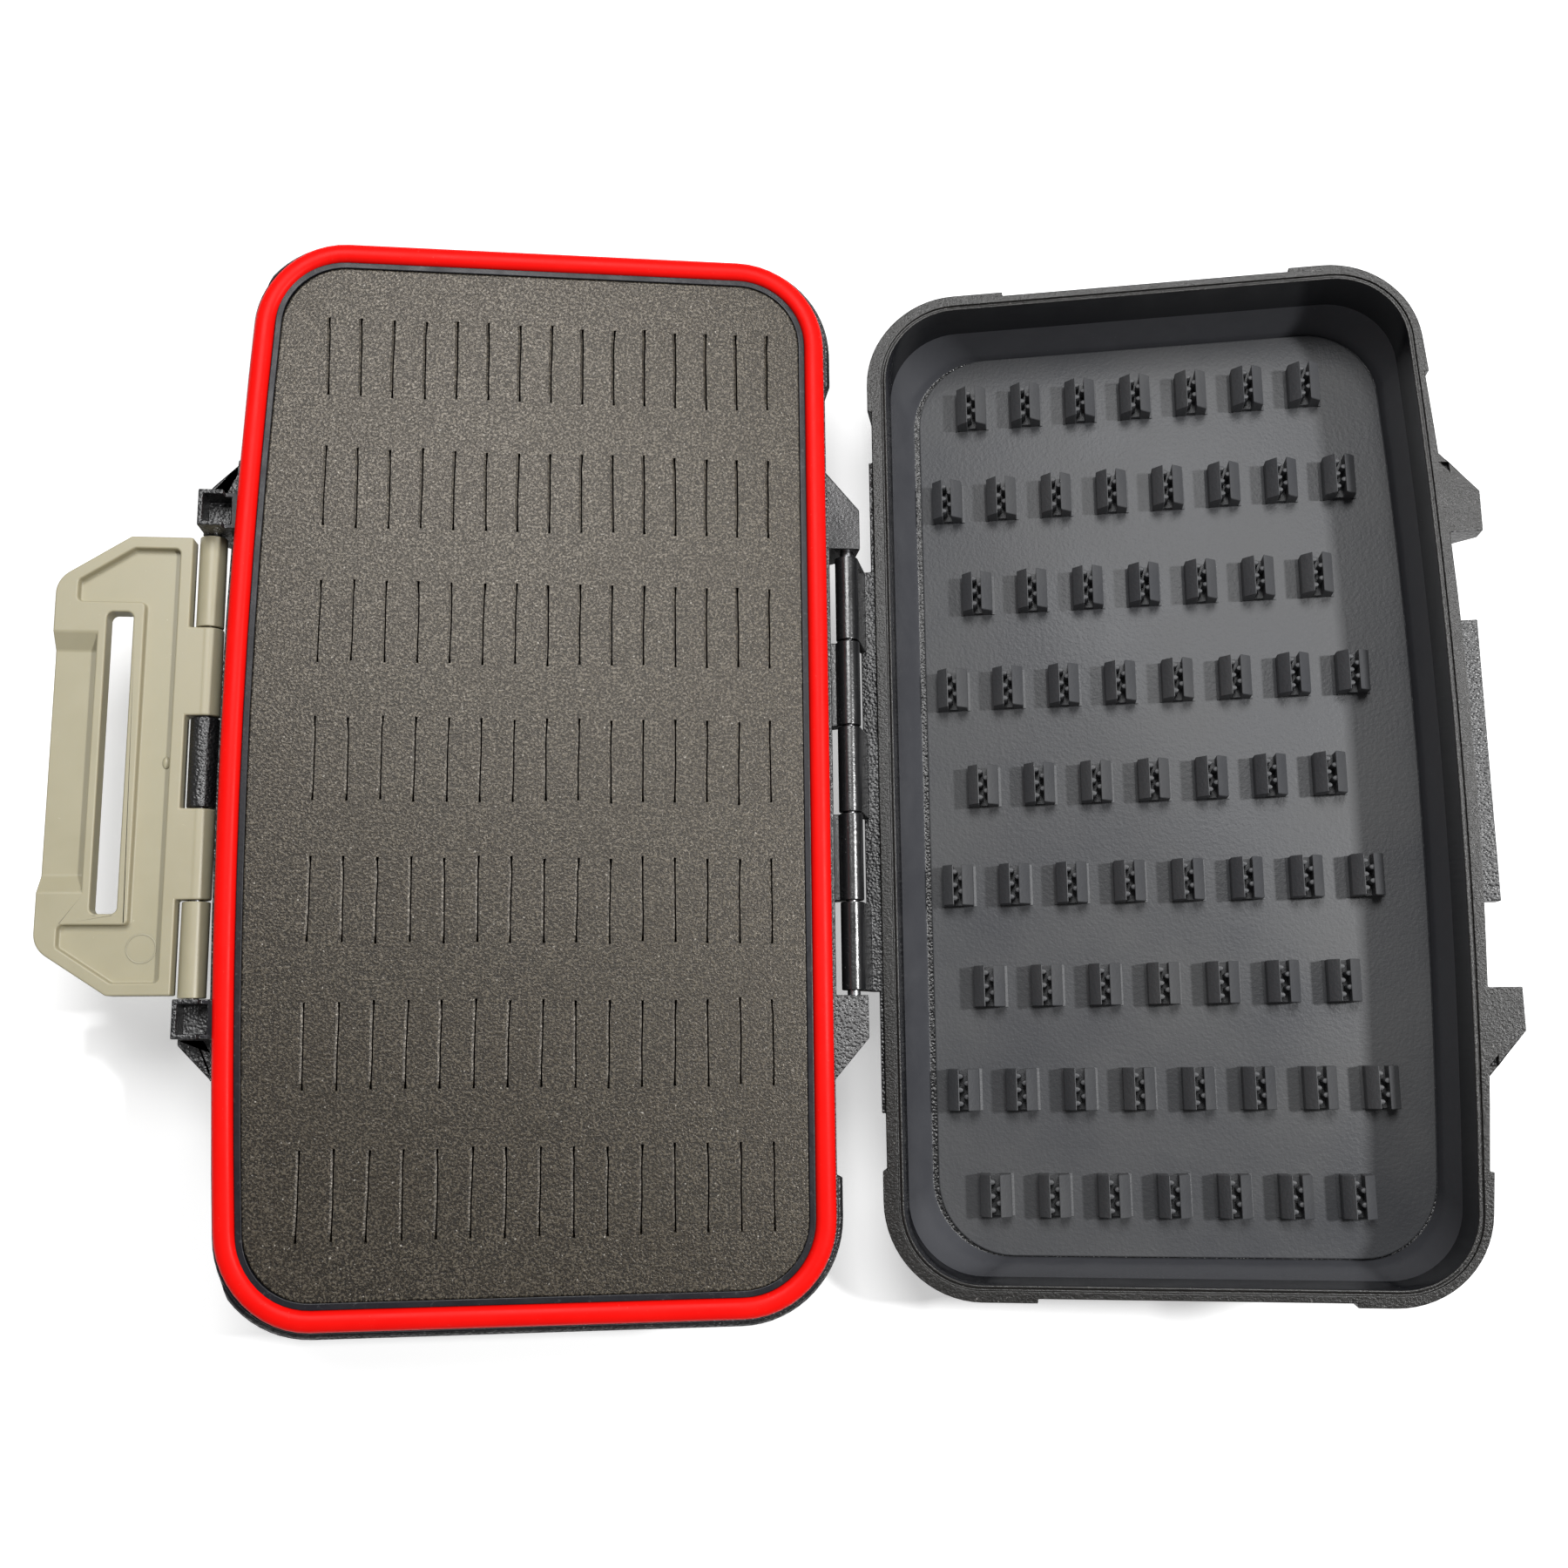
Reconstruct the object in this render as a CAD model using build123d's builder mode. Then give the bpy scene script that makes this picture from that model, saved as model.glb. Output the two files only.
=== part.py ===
from build123d import *
import os
from math import sqrt

# A hinged fishing jig box, open like a book. All sizes are in millimetres.
# +X runs from the base to the open lid, +Y along the hinge, +Z up.
# The origin is on the table, under the middle of the base.
# The lid is drawn closed over the base and turned about the hinge to its open rest.

# Body plan, shared by both halves
half_length = 101.4        # half of the body's length along the hinge
hinge_side = 56.4          # x of the straight side that carries the hinge
latch_side = -56.4         # x of the bowed side that carries the latch, at its middle
bow_radius = 1360.0        # radius of that gentle bow
corner_radius = 17.5       # plan corners

# Heights
seat_height = 36.6         # the ledge that the gasket lies on
gasket_height = 2.4        # the gasket's own height
rim_gap = 0.3              # the closed lid's running gap over the gasket
lid_height = 22.4          # the lid shell, from its rim to its outer face
lid_band = 9.2             # the upright part of the lid's wall, before it slopes in

# Walls of the base
floor = 2.2
wall = 2.4
gasket_margin = 0.4        # from the outer wall to the gasket
gasket_width = 3.8
lip = 1.2                  # the thin inner wall beside the gasket
lip_drop = 0.8             # the lip's top under the gasket's top
mouth_depth = 7.0          # how far down the thick rim reaches
bottom_round = 4.0
lid_round = 2.5

# Foam block with its slits
foam_gap = 0.3
foam_drop = 1.1            # foam top under the gasket's top
slit_rows = 7
slit_columns = 15
slit_row_pitch = 26.0
slit_pitch = 6.0
slit_length = 15.7
slit_width = 0.5
slit_depth = 12.0
slit_shift = 2.7           # the slit field sits a little towards the hinge

# Lid interior
lid_end = 1.3              # the lid's ends lie this far inside the base's
lid_bow_radius = 907.0     # the lid's latch side bows more than the base's
rim_width = 3.2            # the lid's flat rim along its sides
rim_width_end = 2.4        # and along its ends
rim_step = 10.4            # depth of the upright wall inside the rim, before it slopes in
rim_line = 0.5             # the fine groove along the rim's inner edge, width and depth
rim_line_from_edge = 0.5
web_recess = 0.8           # the lid's hinge leaf and webs start this far behind the rim
web_reach = 5.0            # and reach this far up the wall
leaf_stand = 3.1           # the leaf's reach from the hinge side
lid_roof = 2.0             # the lid's outer panel
mat_thickness = 1.2
mat_gap = 0.3
mat_gap_hinge = 1.2        # a wider gap shows along the hinge
mat_inset_hinge = 7.4      # how far the mat's panel lies inside the plan, side by side
mat_inset_latch = 5.5
mat_inset_end = 6.3
mat_corner = 15.0
roof_skin = 2.8            # the sloped wall's thickness, along the panel

# Clips on the mat
clip_rows = 9
long_row = 8               # clips in every second row
short_row = 7              # and in the rows between, the first and last among them
clip_pitch = 11.55
clip_row_pitch = 20.7
clip_shift = 1.6           # the clip field's middle, towards the hinge from x = 0
clip_length = 8.3
clip_width = 6.2
clip_foot = 0.5            # the clip flares out this far where it meets the mat
clip_shoulder = 3.4
clip_height = 5.2
clip_slot = 1.8
clip_slot_floor = 1.2      # solid rubber left under the slot

# Corner bumpers
bumper_stand = 1.3
lid_bumper_stand = 0.8
bumper_long = 76.8         # they start at this y on the long sides
bumper_short = 28.6        # and at this x on the short sides
lid_bumper_height = 15.0

# Hinge and latch lines
axis_drop = 8.3            # both pins run this far under the gasket's top
hinge_stand = 4.7          # from the hinge side to the hinge pin
latch_stand = 4.1          # from the latch side to the latch pin
pin_radius = 1.25
running_fit = 0.05         # radial clearance of every bore that turns on a pin
pin_chamfer = 0.2
knuckle_count = 5          # they fill the space between the ears
knuckle_length = 17.1
knuckle_gap = 0.3
hinge_knuckle_radius = 2.3
latch_knuckle_radius = 2.6
sleeve_radius = 2.5
pad_stand = 0.8            # the raised wall panel behind each pin
pad_half = 58.0
lid_pad_half = 66.0
lid_pad_recess = 0.8       # the lid's panel starts this far behind its rim
pad_foot = 6.0             # height of the base panel's foot
web_root = 7.0             # how far under the pin a base knuckle's web meets the wall
open_angle = 164.0         # how far the lid turns back

# Ears that hold the pins
ear_inner = 43.6           # y of the faces that look at the knuckles
ear_width = 8.0
ear_run = 8.0              # the sloping gusset beyond, along y
ear_sink = 1.8             # its far end dips this far into the bowed side
ear_rise = 3.5             # ear top over the pin
ear_depth = 9.5            # ear foot under the pin
hinge_ear_reach = 6.9      # from the hinge side
latch_ear_reach = 5.9      # from the latch side
ear_wall = 0.9
ear_box_reach = 5.6        # a raised box on each latch ear, open to the top
ear_box_width = 7.0
ear_box_rise = 7.8         # the box's top over the pin
ear_box_floor = 2.6        # its floor over the pin
ear_box_notch = 1.1        # its side walls step down to the seat this near the body
latch_ear_rise = 1.4       # the rest of the latch ear over the pin
lid_ear_reach = 5.0
lid_ear_height = 9.0
lid_ear_pocket = 1.4
boss_radius = 1.25
boss_near = 3.1            # from the ear's inner face to the boss's centre

# Latch handle, measured outwards from its pin
handle_half = 42.8         # half length along the pin
handle_start = 3.2
handle_reach = 27.4
handle_inner = 2.5         # the inner face stands this far over the pin
handle_plate = 4.0
handle_square = 14.4       # where the plate's ends start to taper
handle_tip_half = 34.2     # half length of the outer edge, before its corners are rounded
handle_corner = 5.0
slot_start = 13.3          # finger slot, which snaps over the catch ledge
slot_width = 4.7
slot_half = 28.1
handle_border = 2.3
handle_tip_border = 4.0
handle_recess = 1.7
recess_corner = 0.9
slot_rib = 2.0
grip_start = 19.6
grip_half = 21.0
grip_ramp = 3.2
grip_drop = 2.2

# Catch ledge on the lid
ledge_gap = 0.5            # from the slot's edges to the ledge
ledge_end_gap = 0.7
ledge_past_pin = 0.1       # the ledge's face lies this far short of the pin's line

gasket_top = seat_height + gasket_height
rim_plane = gasket_top + rim_gap
axis_height = gasket_top - axis_drop
hinge_x = hinge_side + hinge_stand
latch_x = latch_side - latch_stand
bore_radius = pin_radius + running_fit
lid_top = rim_plane + lid_height
panel_height = lid_top - lid_roof
mat_face = panel_height - mat_thickness
foam_top = gasket_top - foam_drop
mouth_inset = gasket_margin + gasket_width + lip
ear_outer = ear_inner + ear_width
ear_end = ear_outer + ear_run
clip_ridge = clip_height + clip_slot / 2
leaf_half = (knuckle_count * knuckle_length - knuckle_gap) / 2
ear_box_y = ear_inner + ear_box_width / 2
pin_length = 2 * (ear_outer - ear_wall)
bore_length = 2 * (ear_end + ear_wall)
beyond = 2 * half_length   # longer than any side, for cuts that run right across
hinge_line = Axis((hinge_x, 0, axis_height), (0, 1, 0))


# The body's plan with each side moved in: a straight hinge side, straight ends, a bowed latch side.
def draw_plan(inset_hinge, inset_latch, inset_end, radius, latch_bow=bow_radius):
    half = half_length - inset_end
    right = hinge_side - inset_hinge
    bow_centre = latch_side + latch_bow
    bow = latch_bow - inset_latch
    left = bow_centre - sqrt(bow**2 - half**2)
    with BuildLine() as curve:
        Line((right, -half), (right, half))
        Line((right, half), (left, half))
        ThreePointArc((left, half), (bow_centre - bow, 0), (left, -half))
        Line((left, -half), (right, -half))
    face = make_face(curve.edges())
    fillet(face.vertices(), radius)


# The plan moved in evenly, or out where the inset is negative.
def draw_even_plan(inset):
    draw_plan(inset, inset, inset, corner_radius - inset)


# The lid's outline, grown by a stand. Its ends lie inside the base's.
def draw_lid_plan(stand=0.0):
    draw_plan(-stand, -stand, lid_end - stand, corner_radius + stand, lid_bow_radius)


# The inner edge of the lid's rim, moved in by an inset.
def draw_rim_plan(inset=0.0):
    draw_plan(rim_width + inset, rim_width + inset, lid_end + rim_width_end + inset,
              corner_radius - rim_width - inset)


# The lid's flat panel, grown by a margin.
def draw_panel_plan(margin):
    draw_plan(mat_inset_hinge - margin, mat_inset_latch - margin, mat_inset_end - margin,
              mat_corner + margin)


# An ear with its sloping gusset, on the wall at wall_x, standing out by reach. side is the sign of x,
# end the sign of y. The gusset's far end dips in by sink, where the side is bowed.
# The ear's hollow is drawn with a margin and a shallower root.
def draw_ear(wall_x, reach, side, end, sink=0.0, margin=0.0, root_depth=wall):
    root = wall_x - side * root_depth
    tip = wall_x + side * (reach - margin)
    near = ear_inner + margin
    far = ear_outer - margin / 2
    with BuildLine() as edge:
        Polyline((root, end * near), (tip, end * near), (tip, end * far),
                 (wall_x - side * sink, end * (ear_end - 2 * margin)),
                 (root, end * (ear_end - 2 * margin)),
                 close=True)
    make_face(edge.edges())


# Where knuckle number index lies along the pin, between its running gaps.
def knuckle_span(index):
    start = (index - knuckle_count / 2) * knuckle_length
    return start + knuckle_gap / 2, start + knuckle_length - knuckle_gap / 2


# A knuckle and its web, drawn as points in x and z.
def add_knuckle(index, pin_x, radius, web):
    low, high = knuckle_span(index)
    with Locations((pin_x, (low + high) / 2, axis_height)):
        Cylinder(radius, high - low, rotation=(90, 0, 0))
    with BuildSketch(Plane.XZ.offset(-high)) as section:
        with BuildLine() as edge:
            Polyline(*web, close=True)
        make_face(edge.edges())
    extrude(section.sketch, amount=high - low)


def drill_pin_line(pin_x):
    with Locations((pin_x, 0, axis_height)):
        Cylinder(bore_radius, bore_length, rotation=(90, 0, 0), mode=Mode.SUBTRACT)


# The web between a base knuckle and the wall. side is the sign of x.
def base_web(wall_x, pin_x, radius, side):
    root = wall_x - side * wall / 2
    return [(root, axis_height - web_root), (pin_x, axis_height - radius),
            (pin_x, axis_height), (root, axis_height - pin_radius)]


# Four corner bumpers of the base, cut from a slab that stands out all round
with BuildPart() as base_bumpers:
    with BuildSketch():
        draw_even_plan(-bumper_stand)
    extrude(amount=seat_height - bumper_stand)
    fillet(base_bumpers.faces().sort_by(Axis.Z)[0].edges(), bottom_round)
    chamfer(base_bumpers.faces().sort_by(Axis.Z)[-1].edges(), bumper_stand / 2)
    Box(2 * bumper_short, beyond, beyond, mode=Mode.SUBTRACT)
    Box(beyond, 2 * bumper_long, beyond, mode=Mode.SUBTRACT)

with BuildPart() as base_shell:
    with BuildSketch():
        draw_even_plan(0)
    extrude(amount=seat_height)
    fillet(base_shell.faces().sort_by(Axis.Z)[0].edges(), bottom_round)
    # ears on both sides, their feet sloping back to the wall
    for end in (-1, 1):
        with BuildSketch(Plane.XY.offset(axis_height - ear_depth)):
            draw_ear(hinge_side, hinge_ear_reach, 1, end)
        extrude(amount=ear_depth + ear_rise)
        with BuildSketch(Plane.XY.offset(axis_height - ear_depth)):
            draw_ear(latch_side, latch_ear_reach, -1, end, ear_sink)
        extrude(amount=ear_depth + latch_ear_rise)
        # the raised box on the latch ear, and its walls over the seat
        with BuildSketch(Plane.XY.offset(axis_height)):
            with Locations((latch_side - (ear_box_reach - wall) / 2, end * ear_box_y)):
                Rectangle(ear_box_reach + wall, ear_box_width)
        extrude(amount=seat_height - axis_height)
        with BuildSketch(Plane.XY.offset(seat_height)):
            with Locations((latch_side - (ear_box_reach + ear_box_notch) / 2, end * ear_box_y)):
                Rectangle(ear_box_reach - ear_box_notch, ear_box_width)
        extrude(amount=axis_height + ear_box_rise - seat_height)
    ear_foot = axis_height - ear_depth
    for wall_x, reach in ((hinge_side, hinge_ear_reach), (latch_side, -latch_ear_reach)):
        with BuildSketch(Plane.XZ):
            with BuildLine() as edge:
                Polyline((wall_x, ear_foot - ear_wall), (wall_x + 2 * reach, ear_foot - ear_wall),
                         (wall_x + 2 * reach, axis_height - ear_rise),
                         (wall_x + reach, axis_height - ear_rise), (wall_x, ear_foot), close=True)
            make_face(edge.edges())
        extrude(amount=ear_end, both=True, mode=Mode.SUBTRACT)
    # raised panels behind the pins
    with BuildSketch(Plane.XY.offset(pad_foot)):
        draw_plan(-pad_stand, -pad_stand, 0, corner_radius)
        Rectangle(beyond, 2 * pad_half, mode=Mode.INTERSECT)
    extrude(amount=seat_height - gasket_height - pad_foot)
    add(base_bumpers.part)
    # knuckles two and four of the hinge, and the middle knuckle of the latch
    for index in (1, 3):
        add_knuckle(index, hinge_x, hinge_knuckle_radius,
                    base_web(hinge_side, hinge_x, hinge_knuckle_radius, 1))
    add_knuckle(2, latch_x, latch_knuckle_radius, base_web(latch_side, latch_x, latch_knuckle_radius, -1))
    # thin lip inside the gasket
    with BuildSketch(Plane.XY.offset(seat_height)):
        draw_even_plan(mouth_inset - lip)
    extrude(amount=gasket_height - lip_drop)
    # hollow: a wide well under a narrower mouth
    with BuildSketch(Plane.XY.offset(floor)):
        draw_even_plan(wall)
    extrude(amount=seat_height - mouth_depth - floor, mode=Mode.SUBTRACT)
    with BuildSketch(Plane.XY.offset(seat_height - mouth_depth)):
        draw_even_plan(mouth_inset)
    extrude(amount=mouth_depth + gasket_height, mode=Mode.SUBTRACT)
    # the boxes on the latch ears are open to the top
    for end in (-1, 1):
        with BuildSketch(Plane.XY.offset(axis_height + ear_box_floor)):
            with Locations((latch_side - (ear_box_reach - ear_wall) / 2, end * ear_box_y)):
                Rectangle(ear_box_reach - ear_wall, ear_box_width - 2 * ear_wall)
        extrude(amount=ear_box_rise, mode=Mode.SUBTRACT)
    drill_pin_line(hinge_x)
    drill_pin_line(latch_x)

base_shell.part.label = "base_shell"

with BuildPart() as rim_gasket:
    with BuildSketch(Plane.XY.offset(seat_height)):
        draw_even_plan(gasket_margin)
    extrude(amount=gasket_height)
    with BuildSketch(Plane.XY.offset(seat_height)):
        draw_even_plan(gasket_margin + gasket_width)
    extrude(amount=gasket_height, mode=Mode.SUBTRACT)
    fillet(rim_gasket.faces().sort_by(Axis.Z)[-1].edges(), gasket_width / 4)

rim_gasket.part.label = "rim_gasket"

with BuildPart() as slit_foam:
    with BuildSketch(Plane.XY.offset(floor)):
        draw_even_plan(mouth_inset + foam_gap)
    extrude(amount=foam_top - floor)
    with Locations((slit_shift, 0, foam_top - slit_depth / 2)):
        with GridLocations(slit_pitch, slit_row_pitch, slit_columns, slit_rows):
            Box(slit_width, slit_length, slit_depth, mode=Mode.SUBTRACT)

slit_foam.part.label = "slit_foam"

# The lid's bumpers, closed over the base like the rest of the lid
with BuildPart() as lid_bumpers:
    with BuildSketch(Plane.XY.offset(rim_plane)):
        draw_lid_plan(lid_bumper_stand)
    extrude(amount=lid_bumper_height)
    chamfer(lid_bumpers.faces().sort_by(Axis.Z)[-1].edges(), lid_bumper_stand)
    with Locations((0, 0, rim_plane)):
        Box(2 * bumper_short, beyond, beyond, mode=Mode.SUBTRACT)
        Box(beyond, 2 * bumper_long, beyond, mode=Mode.SUBTRACT)

with BuildPart() as lid_shell:
    with BuildSketch(Plane.XY.offset(rim_plane)):
        draw_lid_plan()
    extrude(amount=lid_band)
    with BuildSketch(Plane.XY.offset(rim_plane + lid_band)):
        draw_lid_plan()
    with BuildSketch(Plane.XY.offset(lid_top)):
        draw_panel_plan(roof_skin)
    loft(ruled=True)
    fillet(lid_shell.faces().sort_by(Axis.Z)[-1].edges(), lid_round)
    # ears over the latch, sloping back to the wall
    for end in (-1, 1):
        with BuildSketch(Plane.XY.offset(rim_plane)):
            draw_ear(latch_side, lid_ear_reach, -1, end, ear_sink)
        extrude(amount=lid_ear_height)
    with BuildSketch(Plane.XZ):
        with BuildLine() as edge:
            Polyline((latch_side, lid_top), (latch_side - 2 * lid_ear_reach, lid_top),
                     (latch_side - 2 * lid_ear_reach, rim_plane + lid_ear_height / 2),
                     (latch_side - lid_ear_reach, rim_plane + lid_ear_height / 2),
                     (latch_side, rim_plane + lid_ear_height), close=True)
        make_face(edge.edges())
    extrude(amount=ear_end, both=True, mode=Mode.SUBTRACT)
    # raised panel along the hinge, and the leaf that joins the knuckles
    with BuildSketch(Plane.XY.offset(rim_plane + lid_pad_recess)):
        with Locations((hinge_side, 0)):
            Rectangle(2 * pad_stand, 2 * lid_pad_half)
    extrude(amount=lid_band - lid_pad_recess)
    with BuildSketch(Plane.XZ):
        with BuildLine() as edge:
            Polyline((hinge_side - pad_stand, rim_plane + web_recess),
                     (hinge_side + leaf_stand, rim_plane + web_recess),
                     (hinge_side + leaf_stand, rim_plane + 2 * web_recess),
                     (hinge_side, rim_plane + web_reach),
                     (hinge_side - pad_stand, rim_plane + web_reach), close=True)
        make_face(edge.edges())
    extrude(amount=leaf_half, both=True)
    add(lid_bumpers.part)
    # catch ledge, which the closed handle's slot snaps over
    ledge_low = axis_height + slot_start + ledge_gap
    ledge_high = axis_height + slot_start + slot_width - ledge_gap
    ledge_face = latch_x + ledge_past_pin
    with BuildSketch(Plane.XZ):
        with BuildLine() as edge:
            Polyline((latch_side + wall, ledge_low), (ledge_face, ledge_low),
                     (ledge_face, ledge_high), (latch_side + wall, ledge_high), close=True)
        make_face(edge.edges())
    extrude(amount=slot_half - ledge_end_gap, both=True)
    # hinge knuckles one, three and five, hanging from webs behind the rim
    for index in (0, 2, 4):
        add_knuckle(index, hinge_x, hinge_knuckle_radius,
                    [(hinge_side - wall / 2, rim_plane + web_reach),
                     (hinge_side - wall / 2, rim_plane + web_recess),
                     (hinge_x - hinge_knuckle_radius - knuckle_gap, rim_plane + web_recess),
                     (hinge_x - hinge_knuckle_radius, axis_height), (hinge_x, axis_height),
                     (hinge_x + pin_radius, axis_height + pin_radius),
                     (hinge_side + wall, rim_plane + web_reach)])
    # hollow: an upright step inside the rim, then walls that slope in to the panel
    with BuildSketch(Plane.XY.offset(rim_plane)):
        draw_rim_plan()
    extrude(amount=rim_step, mode=Mode.SUBTRACT)
    with BuildSketch(Plane.XY.offset(rim_plane + rim_step)):
        draw_rim_plan()
    with BuildSketch(Plane.XY.offset(panel_height)):
        draw_panel_plan(0)
    loft(ruled=True, mode=Mode.SUBTRACT)
    # fine groove along the rim
    with BuildSketch(Plane.XY.offset(rim_plane)):
        draw_rim_plan(-rim_line_from_edge - rim_line)
        with BuildSketch(mode=Mode.PRIVATE) as inner:
            draw_rim_plan(-rim_line_from_edge)
        add(inner.sketch, mode=Mode.SUBTRACT)
    extrude(amount=rim_line, mode=Mode.SUBTRACT)
    # shallow hollows in the ears, each with a small boss
    for end in (-1, 1):
        with BuildSketch(Plane.XY.offset(rim_plane)):
            draw_ear(latch_side, lid_ear_reach, -1, end, ear_sink, ear_wall, rim_gap)
        extrude(amount=lid_ear_pocket, mode=Mode.SUBTRACT)
        with BuildSketch(Plane.XY.offset(rim_plane)):
            with Locations((latch_side - lid_ear_reach + 2 * boss_radius, end * (ear_inner + boss_near))):
                Circle(boss_radius)
        extrude(amount=lid_ear_pocket)
    drill_pin_line(hinge_x)

lid_open = lid_shell.part.rotate(hinge_line, open_angle)
lid_open.label = "lid_shell"

# One clip: a roofed block, split along its ridge, hanging from the mat in the closed lid
with BuildPart() as clip:
    with BuildSketch(Plane.XZ):
        with BuildLine() as edge:
            Polyline((-clip_width / 2 - clip_foot, mat_face), (-clip_width / 2, mat_face - clip_foot),
                     (-clip_width / 2, mat_face - clip_shoulder), (0, mat_face - clip_ridge),
                     (clip_width / 2, mat_face - clip_shoulder), (clip_width / 2, mat_face - clip_foot),
                     (clip_width / 2 + clip_foot, mat_face), close=True)
        make_face(edge.edges())
        with Locations((0, mat_face - clip_slot_floor - clip_height)):
            Rectangle(clip_slot, 2 * clip_height, mode=Mode.SUBTRACT)
    extrude(amount=clip_length / 2, both=True)

with BuildPart() as hook_mat:
    with BuildSketch(Plane.XY.offset(mat_face)):
        draw_plan(mat_inset_hinge + mat_gap_hinge, mat_inset_latch + mat_gap, mat_inset_end + mat_gap,
                  mat_corner - mat_gap)
    extrude(amount=mat_thickness)
    for row in range(clip_rows):
        clips_in_row = short_row if row % 2 == 0 else long_row
        row_y = (row - (clip_rows - 1) / 2) * clip_row_pitch
        for place in range(clips_in_row):
            place_x = clip_shift + (place - (clips_in_row - 1) / 2) * clip_pitch
            with Locations((place_x, row_y, 0)):
                add(clip.part)

mat_open = hook_mat.part.rotate(hinge_line, open_angle)
mat_open.label = "hook_mat"


# Distance from the latch pin, turned into x while the handle lies open
def out(distance):
    return latch_x - distance


plate_top = axis_height + handle_inner
plate_foot = plate_top - handle_plate

with BuildPart() as latch_handle:
    with BuildSketch(Plane.XY.offset(plate_foot)) as plate:
        with BuildLine() as edge:
            Polyline((out(handle_start), handle_half), (out(handle_square), handle_half),
                     (out(handle_reach), handle_tip_half), (out(handle_reach), -handle_tip_half),
                     (out(handle_square), -handle_half), (out(handle_start), -handle_half), close=True)
        make_face(edge.edges())
        fillet(plate.vertices().group_by(Axis.X)[0], handle_corner)
    extrude(amount=handle_plate)
    # recess round the raised rib of the finger slot
    with BuildSketch(Plane.XY.offset(plate_top)) as recess:
        add(plate.sketch.moved(Location((0, 0, handle_plate))))
        offset(amount=-handle_border)
        with Locations((out(handle_reach), 0)):
            Rectangle(2 * handle_tip_border, beyond, mode=Mode.SUBTRACT)
        with Locations((out((slot_start - slot_rib + handle_reach) / 2), 0)):
            Rectangle(handle_reach - slot_start + slot_rib, 2 * (slot_half + slot_rib), mode=Mode.SUBTRACT)
        fillet(recess.vertices(), recess_corner)
    extrude(amount=-handle_recess, mode=Mode.SUBTRACT)
    with BuildSketch(Plane.XY.offset(plate_foot)) as slot:
        with Locations((out(slot_start + slot_width / 2), 0)):
            Rectangle(slot_width, 2 * slot_half)
        fillet(slot.vertices(), slot_width / 4)
    extrude(amount=handle_plate, mode=Mode.SUBTRACT)
    # the grip steps down between two ramps, so that fingers get behind it
    ramp_end = grip_half + grip_ramp
    with BuildSketch(Plane.YZ.offset(out(handle_reach))):
        with BuildLine() as edge:
            Polyline((-ramp_end, plate_top), (-grip_half, plate_top - grip_drop),
                     (grip_half, plate_top - grip_drop), (ramp_end, plate_top), close=True)
        make_face(edge.edges())
    extrude(amount=handle_reach - grip_start, mode=Mode.SUBTRACT)
    with BuildSketch(Plane.YZ.offset(out(handle_reach))):
        with BuildLine() as edge:
            Polyline((-ramp_end, plate_foot), (-grip_half, plate_foot - grip_drop),
                     (grip_half, plate_foot - grip_drop), (ramp_end, plate_foot), close=True)
        make_face(edge.edges())
    extrude(amount=handle_reach - grip_start)
    for index in (1, 3):
        add_knuckle(index, latch_x, latch_knuckle_radius,
                    [(latch_x, plate_top), (out(handle_start + handle_border), plate_top),
                     (out(handle_start + handle_border), plate_foot), (latch_x, plate_foot)])
    drill_pin_line(latch_x)

latch_handle.part.label = "latch_handle"

# Short tubes that fill the pin between the handle and the ears
sleeve_low = knuckle_span(4)[0]
sleeve_high = ear_inner - knuckle_gap
sleeves = {}
for name, end in (("latch_sleeve_upper", 1), ("latch_sleeve_lower", -1)):
    with BuildPart() as sleeve:
        with Locations((latch_x, end * (sleeve_low + sleeve_high) / 2, axis_height)):
            Cylinder(sleeve_radius, sleeve_high - sleeve_low, rotation=(90, 0, 0))
            Cylinder(bore_radius, sleeve_high - sleeve_low, rotation=(90, 0, 0), mode=Mode.SUBTRACT)
    sleeve.part.label = name
    sleeves[name] = sleeve.part

with BuildPart() as hinge_pin:
    with Locations((hinge_x, 0, axis_height)):
        Cylinder(pin_radius, pin_length, rotation=(90, 0, 0))
    chamfer(hinge_pin.edges(), pin_chamfer)

hinge_pin.part.label = "hinge_pin"

with BuildPart() as latch_pin:
    with Locations((latch_x, 0, axis_height)):
        Cylinder(pin_radius, pin_length, rotation=(90, 0, 0))
    chamfer(latch_pin.edges(), pin_chamfer)

latch_pin.part.label = "latch_pin"

os.makedirs("parts", exist_ok=True)
export_step(base_shell.part, "parts/base_shell.step")
export_step(rim_gasket.part, "parts/rim_gasket.step")
export_step(slit_foam.part, "parts/slit_foam.step")
export_step(lid_open, "parts/lid_shell.step")
export_step(mat_open, "parts/hook_mat.step")
export_step(latch_handle.part, "parts/latch_handle.step")
for name, sleeve_part in sleeves.items():
    export_step(sleeve_part, f"parts/{name}.step")
export_step(hinge_pin.part, "parts/hinge_pin.step")
export_step(latch_pin.part, "parts/latch_pin.step")
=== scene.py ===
import random
from math import pi, radians, sin

import bmesh
import bpy
from mathutils import Matrix, Vector
from mathutils.bvhtree import BVHTree


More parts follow.
